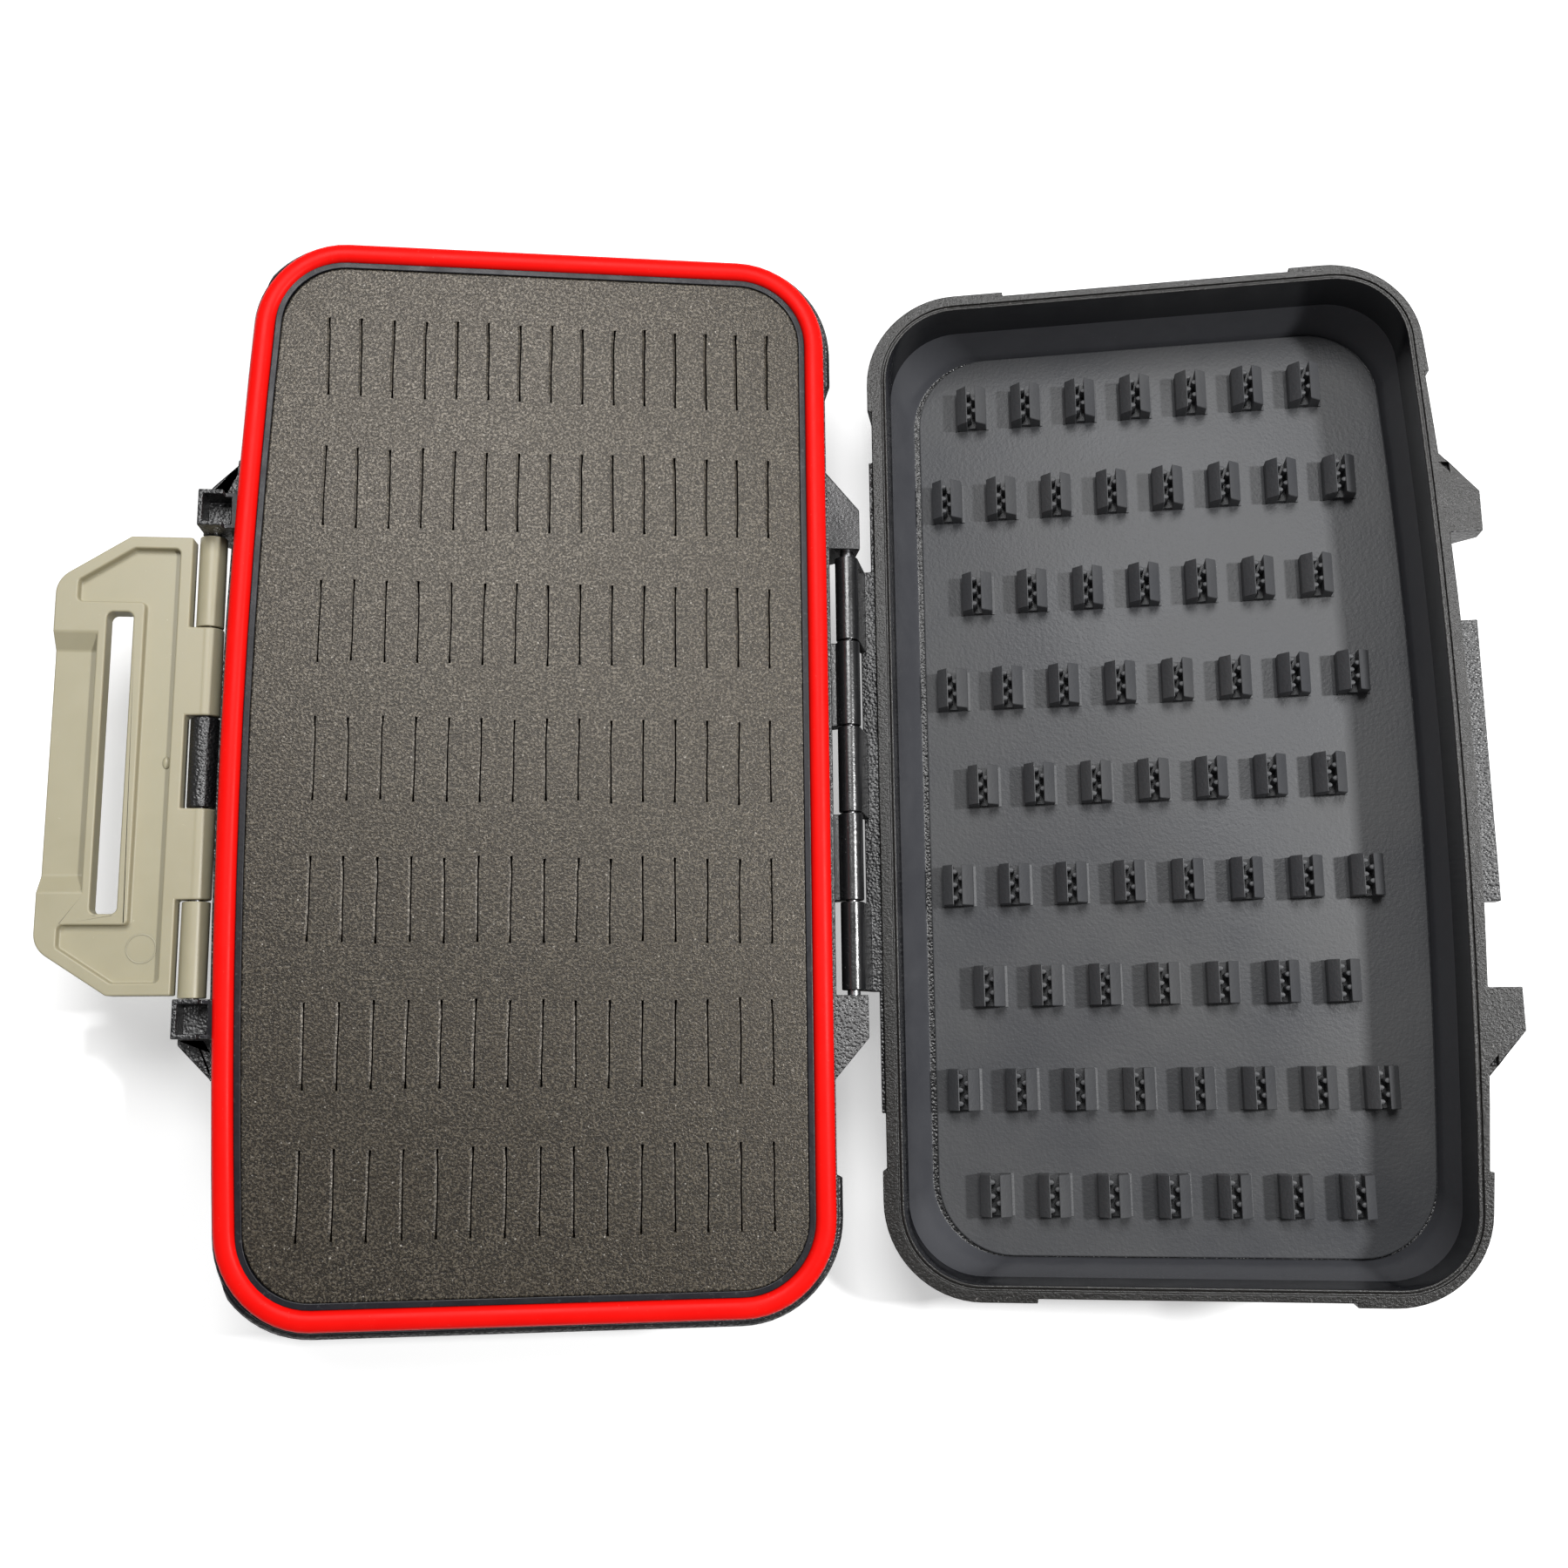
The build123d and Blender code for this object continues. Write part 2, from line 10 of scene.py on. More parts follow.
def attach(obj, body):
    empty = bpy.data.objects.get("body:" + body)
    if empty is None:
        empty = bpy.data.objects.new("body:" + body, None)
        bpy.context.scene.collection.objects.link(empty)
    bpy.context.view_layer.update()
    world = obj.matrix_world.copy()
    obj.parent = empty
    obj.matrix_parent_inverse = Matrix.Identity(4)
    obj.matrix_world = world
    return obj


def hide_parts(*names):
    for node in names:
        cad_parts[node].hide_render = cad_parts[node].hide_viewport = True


# A fishing jig box lying open on a pale table. The frame is in metres, and so are the lights and the table.
# All other sizes here are in millimetres.
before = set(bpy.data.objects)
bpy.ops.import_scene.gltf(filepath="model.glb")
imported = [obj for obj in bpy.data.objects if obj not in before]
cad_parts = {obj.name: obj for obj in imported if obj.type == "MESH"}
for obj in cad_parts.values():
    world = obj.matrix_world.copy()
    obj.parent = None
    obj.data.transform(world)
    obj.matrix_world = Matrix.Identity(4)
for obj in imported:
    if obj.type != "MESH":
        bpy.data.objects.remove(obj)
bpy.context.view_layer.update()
mm = 0.001
print("stage: frame loaded,", len(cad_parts), "nodes")

body = {
    "halfLength": 101.4, "hingeSide": 56.4, "latchSide": -56.4, "bowRadius": 1360.0,
    "cornerSteps": 12, "bowSteps": 24, "seat": 36.6, "floor": 2.2,
}
hinge = {"x": 61.1, "z": 30.7, "openAngle": 164.0}

# How a CAD node is softened: the bevels' widths, and the limits of the steps round them
softening = {"shell": 0.22, "handle": 0.35, "sleeve": 0.2, "merge": 0.002, "flatAngle": 0.5, "sharpAngle": 32,
             "smoothAngle": 40, "weight": 80, "stray": 0.6}

# How far an edge may be from the place that it is chosen by, and how flat a level face is
slack = 0.1
nearlyLevel = 0.9


# Small helpers
def deselectAll():
    if bpy.context.object and bpy.context.object.mode != "OBJECT":
        bpy.ops.object.mode_set(mode="OBJECT")
    bpy.ops.object.select_all(action="DESELECT")


def pick(*chosen):
    deselectAll()
    for piece in chosen:
        piece.select_set(True)
    bpy.context.view_layer.objects.active = chosen[0]


def newest(name):
    piece = bpy.context.object
    piece.name = name
    piece.data.name = name
    return piece


def applyPlace(piece):
    pick(piece)
    bpy.ops.object.transform_apply(location=True, rotation=True, scale=True)


def startEdit(piece, kind="FACE"):
    pick(piece)
    bpy.ops.object.mode_set(mode="EDIT")
    bpy.ops.mesh.select_mode(type=kind)
    bpy.ops.mesh.select_all(action="DESELECT")


def endEdit():
    bpy.ops.object.mode_set(mode="OBJECT")


def chooseFaces(piece, test):
    bpy.ops.mesh.select_all(action="DESELECT")
    shape = bmesh.from_edit_mesh(piece.data)
    for face in shape.faces:
        face.select_set(bool(test(face.calc_center_median() / mm, face.normal)))
    bmesh.update_edit_mesh(piece.data)


def chooseEdges(piece, test):
    bpy.ops.mesh.select_all(action="DESELECT")
    shape = bmesh.from_edit_mesh(piece.data)
    for edge in shape.edges:
        edge.select_set(bool(test(edge.verts[0].co / mm, edge.verts[1].co / mm)))
    bmesh.update_edit_mesh(piece.data)


def moveCorners(piece, place):
    shape = bmesh.new()
    shape.from_mesh(piece.data)
    for corner in shape.verts:
        corner.co = Vector(place(corner.co / mm)) * mm
    shape.to_mesh(piece.data)
    shape.free()


def useModifier(piece, name, kind, **settings):
    pick(piece)
    made = piece.modifiers.new(name, kind)
    for key, value in settings.items():
        setattr(made, key, value)
    bpy.ops.object.modifier_apply(modifier=made.name)


def turnFacesOut(piece):
    startEdit(piece)
    bpy.ops.mesh.select_all(action="SELECT")
    bpy.ops.mesh.normals_make_consistent(inside=False)
    endEdit()


def smooth(piece, angle):
    pick(piece)
    bpy.ops.object.shade_smooth_by_angle(angle=radians(angle))


def joinAll(name, pieces):
    pick(*pieces)
    bpy.ops.object.join()
    return newest(name)


def duplicate(piece, name):
    mesh = piece.data.copy()
    made = bpy.data.objects.new(name, mesh)
    mesh.name = name
    bpy.context.scene.collection.objects.link(made)
    return made


# Corners that the bevel threw off the solid go back onto it.
def pullBack(made, solid, allowed):
    shape = bmesh.new()
    shape.from_mesh(solid.data)
    surface = BVHTree.FromBMesh(shape)
    shape.free()
    for corner in made.data.vertices:
        spot, normal, index, away = surface.find_nearest(corner.co)
        if away > allowed * mm:
            corner.co = spot


# A working copy of a CAD node: merged, its flat faces joined up, its sharp edges softened.
# The cut parts its faces at one x, so that each side can have its own finish.
def softenedCopy(node, name, width, steps=2, cut=None):
    made = duplicate(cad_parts[node], name)
    startEdit(made)
    bpy.ops.mesh.select_all(action="SELECT")
    bpy.ops.mesh.customdata_custom_splitnormals_clear()
    bpy.ops.mesh.remove_doubles(threshold=softening["merge"] * mm)
    bpy.ops.mesh.dissolve_limited(angle_limit=radians(softening["flatAngle"]))
    if cut:
        bpy.ops.mesh.select_all(action="SELECT")
        bpy.ops.mesh.bisect(plane_co=(cut * mm, 0, 0), plane_no=(1, 0, 0))
    endEdit()
    useModifier(made, "softEdges", "BEVEL", width=width * mm, segments=steps, limit_method="ANGLE",
                angle_limit=radians(softening["sharpAngle"]), use_clamp_overlap=False,
                miter_outer="MITER_SHARP")
    pullBack(made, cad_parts[node], softening["stray"] * width)
    smooth(made, softening["smoothAngle"])
    useModifier(made, "flatShading", "WEIGHTED_NORMAL", keep_sharp=True, weight=softening["weight"])
    return made


# A closed block in the body's plan: straight hinge side, bowed latch side, round corners.
def planBlock(name, insetHinge, insetLatch, insetEnd, radius, low, high):
    right = body["hingeSide"] - insetHinge
    left = body["latchSide"] + insetLatch
    half = body["halfLength"] - insetEnd
    deselectAll()
    bpy.ops.mesh.primitive_cube_add(size=1, location=((right + left) / 2 * mm, 0, (low + high) / 2 * mm),
                                    scale=((right - left) * mm, 2 * half * mm, (high - low) * mm))
    piece = newest(name)
    applyPlace(piece)
    startEdit(piece, "EDGE")
    chooseEdges(piece, lambda a, b: abs(a.z - b.z) > (high - low) / 2)
    bpy.ops.mesh.bevel(offset=radius * mm, segments=body["cornerSteps"], profile=0.5, clamp_overlap=False)
    chooseEdges(piece, lambda a, b: max(a.x, b.x) < left + slack and abs(a.y - b.y) > half)
    bpy.ops.mesh.subdivide(number_cuts=body["bowSteps"])
    endEdit()

    def bowed(p):
        bow = p.y**2 / (2 * body["bowRadius"]) * p.x / left if p.x < 0 else 0
        return (p.x + bow, p.y, p.z)

    moveCorners(piece, bowed)
    return piece


# From the closed lid's place to its open place, round the hinge pin
hingePoint = Vector((hinge["x"], 0, hinge["z"])) * mm
openLid = (Matrix.Translation(hingePoint) @ Matrix.Rotation(radians(hinge["openAngle"]), 4, "Y")
           @ Matrix.Translation(-hingePoint))


def closedPoint(point):
    return openLid.inverted() @ (point * mm) / mm


# Materials: a signal wraps a shader socket, so that an expression adds its Math nodes
class Signal:
    def __init__(self, finish, socket):
        self.finish = finish
        self.socket = socket

    def maths(self, operation, first, second):
        return self.finish.node("ShaderNodeMath", {"operation": operation}, {0: first, 1: second})

    def __add__(self, other):
        return self.maths("ADD", self, other)

    def __radd__(self, other):
        return self.maths("ADD", other, self)

    def __mul__(self, other):
        return self.maths("MULTIPLY", self, other)

    def __rmul__(self, other):
        return self.maths("MULTIPLY", other, self)


# A finish is one material, and its methods add the nodes
class Finish:
    def __init__(self, name):
        self.material = bpy.data.materials.new(name)
        self.material.use_nodes = True
        self.tree = self.material.node_tree
        self.tree.nodes.clear()

    def node(self, kind, settings, inputs, output=0):
        made = self.tree.nodes.new(kind)
        for key, value in settings.items():
            if key == "stops":
                ramp = made.color_ramp
                while len(ramp.elements) < len(value):
                    ramp.elements.new(0.5)
                for element, (place, shade) in zip(ramp.elements, value):
                    element.position = place
                    element.color = (*shade, 1)
            else:
                setattr(made, key, value)
        for key, value in inputs.items():
            if isinstance(value, Signal):
                self.tree.links.new(value.socket, made.inputs[key])
            else:
                made.inputs[key].default_value = value
        return Signal(self, made.outputs[output]) if made.outputs else None

    def place(self):
        return self.node("ShaderNodeTexCoord", {}, {}, "Object")

    # Noise whose features are about size millimetres wide
    def noise(self, size, detail=2.0, roughness=0.5, distortion=0.0):
        return self.node("ShaderNodeTexNoise", {}, {"Vector": self.place(), "Scale": 1 / (size * mm),
                                                    "Detail": detail, "Roughness": roughness,
                                                    "Distortion": distortion})

    # Cells about size millimetres wide, 0 at their middles
    def cells(self, size, smoothness):
        return self.node("ShaderNodeTexVoronoi", {"feature": "SMOOTH_F1"},
                         {"Vector": self.place(), "Scale": 1 / (size * mm), "Smoothness": smoothness},
                         "Distance")

    def ramp(self, value, *stops):
        return self.node("ShaderNodeValToRGB", {"stops": stops}, {"Fac": value})

    def level(self, value, low, high, outLow=0.0, outHigh=1.0):
        return self.node("ShaderNodeMapRange", {"clamp": True}, {
            "Value": value, "From Min": low, "From Max": high, "To Min": outLow, "To Max": outHigh})

    def blend(self, factor, first, second):
        made = self.node("ShaderNodeMix", {"data_type": "RGBA"}, {0: factor}, 2)
        for index, colour in ((6, first), (7, second)):
            if isinstance(colour, Signal):
                self.tree.links.new(colour.socket, made.socket.node.inputs[index])
            else:
                made.socket.node.inputs[index].default_value = (*colour, 1)
        return made

    def bump(self, height, depth, strength=1.0, under=None):
        inputs = {"Height": height, "Distance": depth * mm, "Strength": strength}
        if under:
            inputs["Normal"] = under
        return self.node("ShaderNodeBump", {}, inputs)

    def finish(self, **inputs):
        named = {key.replace("_", " "): value for key, value in inputs.items()}
        for key, value in named.items():
            if key.endswith("Color") and isinstance(value, tuple):
                named[key] = (*value, 1)
        surface = self.node("ShaderNodeBsdfPrincipled", {}, named)
        self.node("ShaderNodeOutputMaterial", {}, {"Surface": surface})
        return self.material


# Moulded black plastic: a leather grain on the outside, gloss inside the lid
shellLook = {"black": (0.0085, 0.0085, 0.0095), "worn": (0.022, 0.0215, 0.021), "cell": 0.55, "fine": 0.3}


def shellFinish():
    f = Finish("grainedShell")
    leather = f.cells(shellLook["cell"], 0.4)
    fine = f.noise(shellLook["fine"], 2, 0.6)
    wear = f.level(f.noise(11, 4, 0.65), 0.50, 0.72)
    return f.finish(
        Base_Color=f.blend(wear * 0.6, shellLook["black"], shellLook["worn"]),
        Roughness=f.level(leather, 0.1, 0.7, 0.24, 0.42) + wear * 0.06,
        Specular_IOR_Level=0.95,
        Normal=f.bump(leather + fine * 0.4, 0.16, 1.0))


def smoothShellFinish():
    f = Finish("smoothShell")
    haze = f.noise(8, 3, 0.6, 0.3)
    scuff = f.level(f.noise(2.4, 5, 0.75, 0.6), 0.64, 0.74)
    return f.finish(
        Base_Color=f.blend(scuff, (0.0045, 0.005, 0.0075), (0.02, 0.02, 0.024)),
        Roughness=f.level(haze, 0.3, 0.7, 0.10, 0.2) + scuff * 0.12,
        Specular_IOR_Level=0.55,
        Normal=f.bump(f.noise(7, 2) + scuff * 0.02, 0.16, 0.3))


# The lid's sloping inner walls: a hazier gloss, with a grey base colour that is painted reflection, far
# lighter than the black plastic of the rest of the lid
def slopeFinish():
    f = Finish("hazySlopePaintedReflection")
    haze = f.noise(9, 3, 0.6, 0.4)
    fleck = f.level(f.noise(0.6, 3, 0.7), 0.68, 0.76)
    # Painted reflection: the two greys under the flecks stand in for the light that the glossy black walls
    # reflect
    return f.finish(
        Base_Color=f.blend(fleck * 0.5, f.blend(haze, (0.070, 0.072, 0.082), (0.098, 0.100, 0.110)),
                           (0.22, 0.22, 0.23)),
        Roughness=f.level(haze, 0.3, 0.7, 0.16, 0.26),
        Specular_IOR_Level=0.6,
        Normal=f.bump(f.noise(6, 2), 0.2, 0.3))


# The hinge's knuckles and upper ear: the same plastic from a polished part of the mould
def knuckleFinish():
    f = Finish("polishedKnuckle")
    speck = f.level(f.noise(0.5, 2, 0.6), 0.70, 0.76)
    haze = f.noise(5, 3, 0.6, 0.4)
    return f.finish(
        Base_Color=f.blend(speck * 0.5, (0.009, 0.0092, 0.010), (0.25, 0.25, 0.25)),
        Roughness=f.level(haze, 0.3, 0.7, 0.20, 0.30),
        Specular_IOR_Level=0.95,
        Normal=f.bump(f.noise(0.6, 3, 0.6) + f.noise(4, 2) * 0.5, 0.05, 0.8))


# The lid's rim: satin, rubbed smooth, with fine nicks
def rimFinish():
    f = Finish("satinRim")
    nick = f.level(f.noise(0.7, 4, 0.75), 0.64, 0.72)
    rub = f.noise(6, 4, 0.6, 0.5)
    return f.finish(
        Base_Color=f.blend(nick * 0.7, f.blend(rub, (0.010, 0.0095, 0.009), (0.020, 0.0185, 0.0165)),
                           (0.34, 0.32, 0.30)),
        Roughness=f.level(rub, 0.3, 0.7, 0.28, 0.38),
        Specular_IOR_Level=0.6,
        Normal=f.bump(f.noise(0.5, 3, 0.65), 0.14, 1.0))


# The base's wall above the foam
def lipFinish():
    f = Finish("lipPlastic")
    nick = f.level(f.noise(1.1, 4, 0.7), 0.60, 0.70)
    return f.finish(
        Base_Color=f.blend(nick * 0.6, (0.012, 0.012, 0.016), (0.08, 0.08, 0.085)),
        Roughness=f.level(f.noise(4, 3), 0.3, 0.7, 0.3, 0.44),
        Specular_IOR_Level=0.3,
        Normal=f.bump(f.noise(0.8, 3, 0.6), 0.04, 0.7))


def gasketFinish():
    f = Finish("gasketRubber")
    cloud = f.noise(7, 3, 0.6)
    dust = f.level(f.noise(0.5, 2, 0.6), 0.70, 0.78)
    red = f.blend(cloud, (0.86, 0.004, 0.003), (0.95, 0.008, 0.005))
    return f.finish(
        Base_Color=f.blend(dust * 0.12, red, (0.9, 0.3, 0.25)),
        Roughness=f.level(cloud, 0.3, 0.7, 0.34, 0.44),
        Specular_IOR_Level=0.09,
        Normal=f.bump(f.noise(0.9, 3, 0.6), 0.03, 0.4))


# Closed-cell foam: its skin has a sheen, broken up by the cells, and pale specks in its base colour are
# painted glints
def foamFinish():
    f = Finish("closedCellFoam")
    speck = f.noise(0.44, 2, 0.7, 0.4)
    crumb = f.noise(1.1, 3, 0.65)
    cloud = f.noise(16, 3, 0.6)
    # Painted highlight: pale specks mixed into the base colour stand in for glints of light on the cells
    paintedGlint = f.level(f.noise(0.6, 1, 0.5), 0.73, 0.79)
    shade = f.ramp(speck * 0.85 + crumb * 0.15, (0.41, (0.001, 0.0008, 0.0005)),
                   (0.5, (0.016, 0.0125, 0.008)), (0.59, (0.105, 0.090, 0.068)))
    warm = f.blend(f.level(cloud, 0.4, 0.65), shade, (0.020, 0.014, 0.008))
    return f.finish(
        Base_Color=f.blend(paintedGlint * 0.4, f.blend(0.2, shade, warm), (0.85, 0.80, 0.72)),
        Roughness=f.level(speck, 0.42, 0.58, 0.44, 0.28),
        Specular_IOR_Level=0.56,
        Specular_Tint=(1.0, 0.93, 0.84, 1.0),
        Normal=f.bump(speck, 0.11, 0.9))


def matFinish():
    f = Finish("slateRubber")
    cloud = f.noise(26, 4, 0.55)
    peel = f.noise(0.75, 3, 0.62)
    rub = f.level(f.noise(5, 5, 0.7, 0.8), 0.64, 0.78)
    slate = f.blend(f.level(cloud, 0.35, 0.65), (0.066, 0.068, 0.074), (0.086, 0.087, 0.090))
    return f.finish(
        Base_Color=f.blend(rub * 0.2, slate, (0.12, 0.12, 0.12)),
        Roughness=f.level(cloud, 0.3, 0.7, 0.44, 0.56),
        Specular_IOR_Level=0.5,
        Normal=f.bump(peel, 0.13, 0.8, f.bump(f.noise(12, 2), 0.25, 0.3)))


def handleFinish():
    f = Finish("beigePlastic")
    flow = f.noise(9, 3, 0.5, 0.6)
    nick = f.level(f.noise(1.3, 4, 0.7, 0.5), 0.70, 0.76)
    beige = f.blend(flow, (0.385, 0.352, 0.238), (0.440, 0.404, 0.282))
    return f.finish(
        Base_Color=f.blend(nick * 0.5, beige, (0.75, 0.72, 0.6)),
        Roughness=f.level(flow, 0.3, 0.7, 0.34, 0.44) + nick * 0.2,
        Specular_IOR_Level=0.5,
        Subsurface_Weight=0.2,
        Subsurface_Radius=(0.0016, 0.0013, 0.0008),
        Subsurface_Scale=1.0,
        Normal=f.bump(f.noise(5, 2) * 0.5 + nick * 0.1, 0.12, 0.35))


def steelFinish():
    f = Finish("drawnWire")
    streak = f.node("ShaderNodeTexNoise", {}, {
        "Vector": f.node("ShaderNodeMapping", {}, {"Vector": f.place(), "Scale": (6000, 150, 6000)}),
        "Scale": 1.0, "Detail": 2.0})
    return f.finish(
        Base_Color=f.blend(streak, (0.30, 0.30, 0.31), (0.46, 0.46, 0.47)),
        Metallic=1.0,
        Roughness=f.level(streak, 0.3, 0.7, 0.25, 0.42),
        Normal=f.bump(streak, 0.01, 0.5))


def floorFinish():
    f = Finish("paleTable")
    ray = f.node("ShaderNodeLightPath", {}, {}, "Is Camera Ray")
    tone = f.blend(f.noise(120, 3), (0.9, 0.9, 0.9), (0.915, 0.915, 0.915))
    return f.finish(
        Base_Color=tone, Roughness=0.75, Specular_IOR_Level=0.2,
        Emission_Color=f.blend(ray, (0, 0, 0), (1, 1, 1)), Emission_Strength=0.45)


finishes = {
    "shell": shellFinish(), "smoothShell": smoothShellFinish(), "slope": slopeFinish(), "rim": rimFinish(),
    "knuckle": knuckleFinish(), "lip": lipFinish(), "gasket": gasketFinish(), "foam": foamFinish(),
    "mat": matFinish(), "handle": handleFinish(), "steel": steelFinish(), "floor": floorFinish(),
}
print("stage: materials made,", len(finishes))


# The first finish goes on every face
def dress(piece, *names):
    piece.data.materials.clear()
    for name in names:
        piece.data.materials.append(finishes[name])
    for face in piece.data.polygons:
        face.material_index = 0


# Base shell: softened edges
knuckles = {"from": 57.2, "above": 22.0, "lowest": -42.0}
lip = {"inset": 3.9, "above": 30.0}
bumper = {"start": 76.0, "turn": -40.0, "fade": 15.0, "drawnIn": 0.85, "below": 1.0, "depth": 1.6}
baseFinishes = ("shell", "lip", "knuckle")
base = softenedCopy("base_shell", "baseShell", softening["shell"], cut=knuckles["from"])
dress(base, *baseFinishes)


# The bumpers on the latch side stand out less than the others, and nothing is below the table.
def drawIn(p):
    if abs(p.y) < bumper["start"] or p.x > bumper["turn"] or p.z > body["seat"] - bumper["below"]:
        return (p.x, p.y, max(p.z, 0))
    share = min((bumper["turn"] - p.x) / bumper["fade"], 1.0)
    edge = body["latchSide"] + p.y**2 / (2 * body["bowRadius"])
    outward = max(min(edge + bumper["depth"] - p.x, 1.0), 0.0)
    return (p.x + bumper["drawnIn"] * share * outward, p.y, max(p.z, 0))


moveCorners(base, drawIn)
for face in base.data.polygons:
    spot = face.center / mm
    insideX = abs(spot.x) < body["hingeSide"] - lip["inset"]
    insideY = abs(spot.y) < body["halfLength"] - lip["inset"]
    if insideX and insideY and spot.z > lip["above"]:
        face.material_index = baseFinishes.index("lip")
    elif spot.x > knuckles["from"] and spot.z > knuckles["above"] and spot.y > knuckles["lowest"]:
        face.material_index = baseFinishes.index("knuckle")
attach(base, "base")
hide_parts("base_shell")
print("stage: base shell")

# Lid shell: softened edges, smooth inside
lid = softenedCopy("lid_shell", "lidShell", softening["shell"])
lidWell = {"rimLine": 39.9, "slopeStart": 50.8, "panel": 59.6, "side": 53.4, "end": 98.3, "rimFace": 38.0,
           "band": 49.7, "bandHalf": 0.4, "bandMore": 0.9, "rimSide": 56.9}
lidFinishes = ("shell", "smoothShell", "slope", "rim", "knuckle")


# The lid's upright inner wall reaches a little further down
def deepenWall(point):
    p = closedPoint(point)
    onWall = abs(p.x) < lidWell["side"] and abs(p.z - lidWell["band"]) < lidWell["bandHalf"]
    lowered = Vector((p.x, p.y, p.z + (lidWell["bandMore"] if onWall else 0)))
    return openLid @ (lowered * mm) / mm


moveCorners(lid, deepenWall)
dress(lid, *lidFinishes)
closing = openLid.inverted().to_3x3()
for face in lid.data.polygons:
    spot = closedPoint(face.center / mm)
    facing = closing @ face.normal
    facesIn = facing.x * spot.x + facing.y * spot.y < 0
    inside = abs(spot.x) < lidWell["side"] and abs(spot.y) < lidWell["end"]
    if inside and facesIn and lidWell["rimLine"] < spot.z < lidWell["panel"]:
        face.material_index = lidFinishes.index("slope" if spot.z > lidWell["slopeStart"] else "smoothShell")
    elif abs(spot.x) < lidWell["rimSide"] and lidWell["rimFace"] < spot.z <= lidWell["rimLine"]:
        face.material_index = lidFinishes.index("rim")
    elif spot.x > knuckles["from"] and spot.z < lidWell["rimLine"]:
        face.material_index = lidFinishes.index("knuckle")
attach(lid, "lid")
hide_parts("lid_shell")
print("stage: lid shell")

# Gasket: a ring with a domed top, made by insets from the plan
ring = {
    "inset": 0.4, "radius": 17.1, "side": 1.1, "smoothAngle": 50,
    "steps": ((0.28, 0.70), (0.55, 0.42), (1.07, 0.18), (1.07, -0.18), (0.55, -0.42), (0.28, -0.70)),
}
gasket = planBlock("rimGasket", ring["inset"], ring["inset"], ring["inset"], ring["radius"], body["seat"],
                   body["seat"] + ring["side"])
startEdit(gasket)
chooseFaces(gasket, lambda middle, normal: normal.z > nearlyLevel)
for thickness, depth in ring["steps"]:
    bpy.ops.mesh.inset(thickness=thickness * mm, depth=depth * mm, use_even_offset=True)
bpy.ops.mesh.extrude_region_move(TRANSFORM_OT_translate={"value": (0, 0, -ring["side"] * mm)})
bpy.ops.mesh.delete(type="FACE")
chooseFaces(gasket, lambda middle, normal: normal.z < -nearlyLevel)
bpy.ops.mesh.delete(type="FACE")
bpy.ops.mesh.select_mode(type="EDGE")
bpy.ops.mesh.select_all(action="DESELECT")
bpy.ops.mesh.select_non_manifold()
bpy.ops.mesh.bridge_edge_loops()
endEdit()
turnFacesOut(gasket)
smooth(gasket, ring["smoothAngle"])
dress(gasket, "gasket")
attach(gasket, "base")
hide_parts("rim_gasket")
print("stage: gasket")

# Pins
for pin in ("hinge_pin", "latch_pin"):
    dress(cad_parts[pin], "steel")

# Foam block, cut with rows of slits
foam = {
    "inset": 5.32, "radius": 12.15, "top": 37.9, "edge": 0.35, "edgeSteps": 3, "rows": 7, "columns": 15,
    "rowPitch": 26.0, "pitch": 6.0, "shift": 2.7, "slitLength": 15.7, "slitWidth": 0.27, "slitDepth": 12.0,
    "dot": 0.22, "dotFrom": 0.8, "dotSpan": 0.2, "waviness": 0.05, "slowWave": 2.1, "fastWave": 5.3,
    "slitSteps": 12, "flareWidth": 0.38, "flareDepth": 0.14, "flareTo": 0.95, "cutterRise": 1.0,
    "seedStep": 31, "smoothAngle": 12,
}
chances = {
    "tilt": (-0.007, 0.007), "stretch": (0.985, 1.015), "drift": (-0.25, 0.25), "phase": (0, 6.3),
    "lean": (-0.15, 0.15), "dot": (0.6, 1.15),
}


# One slit's cutter: a thin wavy blade, widened to a dot at each end
def slitCutter(place, seed):
    chance = random.Random(seed)
    deselectAll()
    bpy.ops.mesh.primitive_grid_add(x_subdivisions=1, y_subdivisions=foam["slitSteps"], size=1,
                                    location=(0, 0, (foam["top"] - foam["slitDepth"]) * mm))
    cutter = newest("slitCutter")
    cutter.scale = (foam["slitWidth"] * mm, foam["slitLength"] * mm, 1)
    applyPlace(cutter)
    startEdit(cutter)
    bpy.ops.mesh.select_all(action="SELECT")
    for rise in (foam["slitDepth"] - foam["flareDepth"], foam["flareDepth"] + foam["cutterRise"]):
        bpy.ops.mesh.extrude_region_move(TRANSFORM_OT_translate={"value": (0, 0, rise * mm)})
    endEdit()
    tilt = chance.uniform(*chances["tilt"])
    stretch = chance.uniform(*chances["stretch"])
    drift = chance.uniform(*chances["drift"])
    phase = chance.uniform(*chances["phase"])
    lean = chance.uniform(*chances["lean"])
    dots = {1: chance.uniform(*chances["dot"]), -1: chance.uniform(*chances["dot"])}

    def shape(p):
        along = 2 * p.y / foam["slitLength"]
        slow = sin(foam["slowWave"] * along + phase)
        fast = sin(foam["fastWave"] * along + 2 * phase)
        wave = foam["waviness"] * (slow + 0.5 * fast)
        width = 1.0
        if abs(along) > foam["dotFrom"]:
            dot = dots[1 if along > 0 else -1] * foam["dot"] / foam["slitWidth"]
            width = 1.0 + dot * (abs(along) - foam["dotFrom"]) / foam["dotSpan"]
        # the left edge of the cut is rounded down a little, and catches the light
        flare = 0.0
        if p.x < 0 and p.z > foam["top"] and abs(along) < foam["flareTo"]:
            flare = foam["flareWidth"] * (foam["flareDepth"] + foam["cutterRise"]) / foam["flareDepth"]
        return (place[0] + p.x * width + wave + tilt * p.y + lean * (along > foam["dotFrom"]) - flare,
                place[1] + drift + p.y * stretch, p.z)

    moveCorners(cutter, shape)
    return cutter


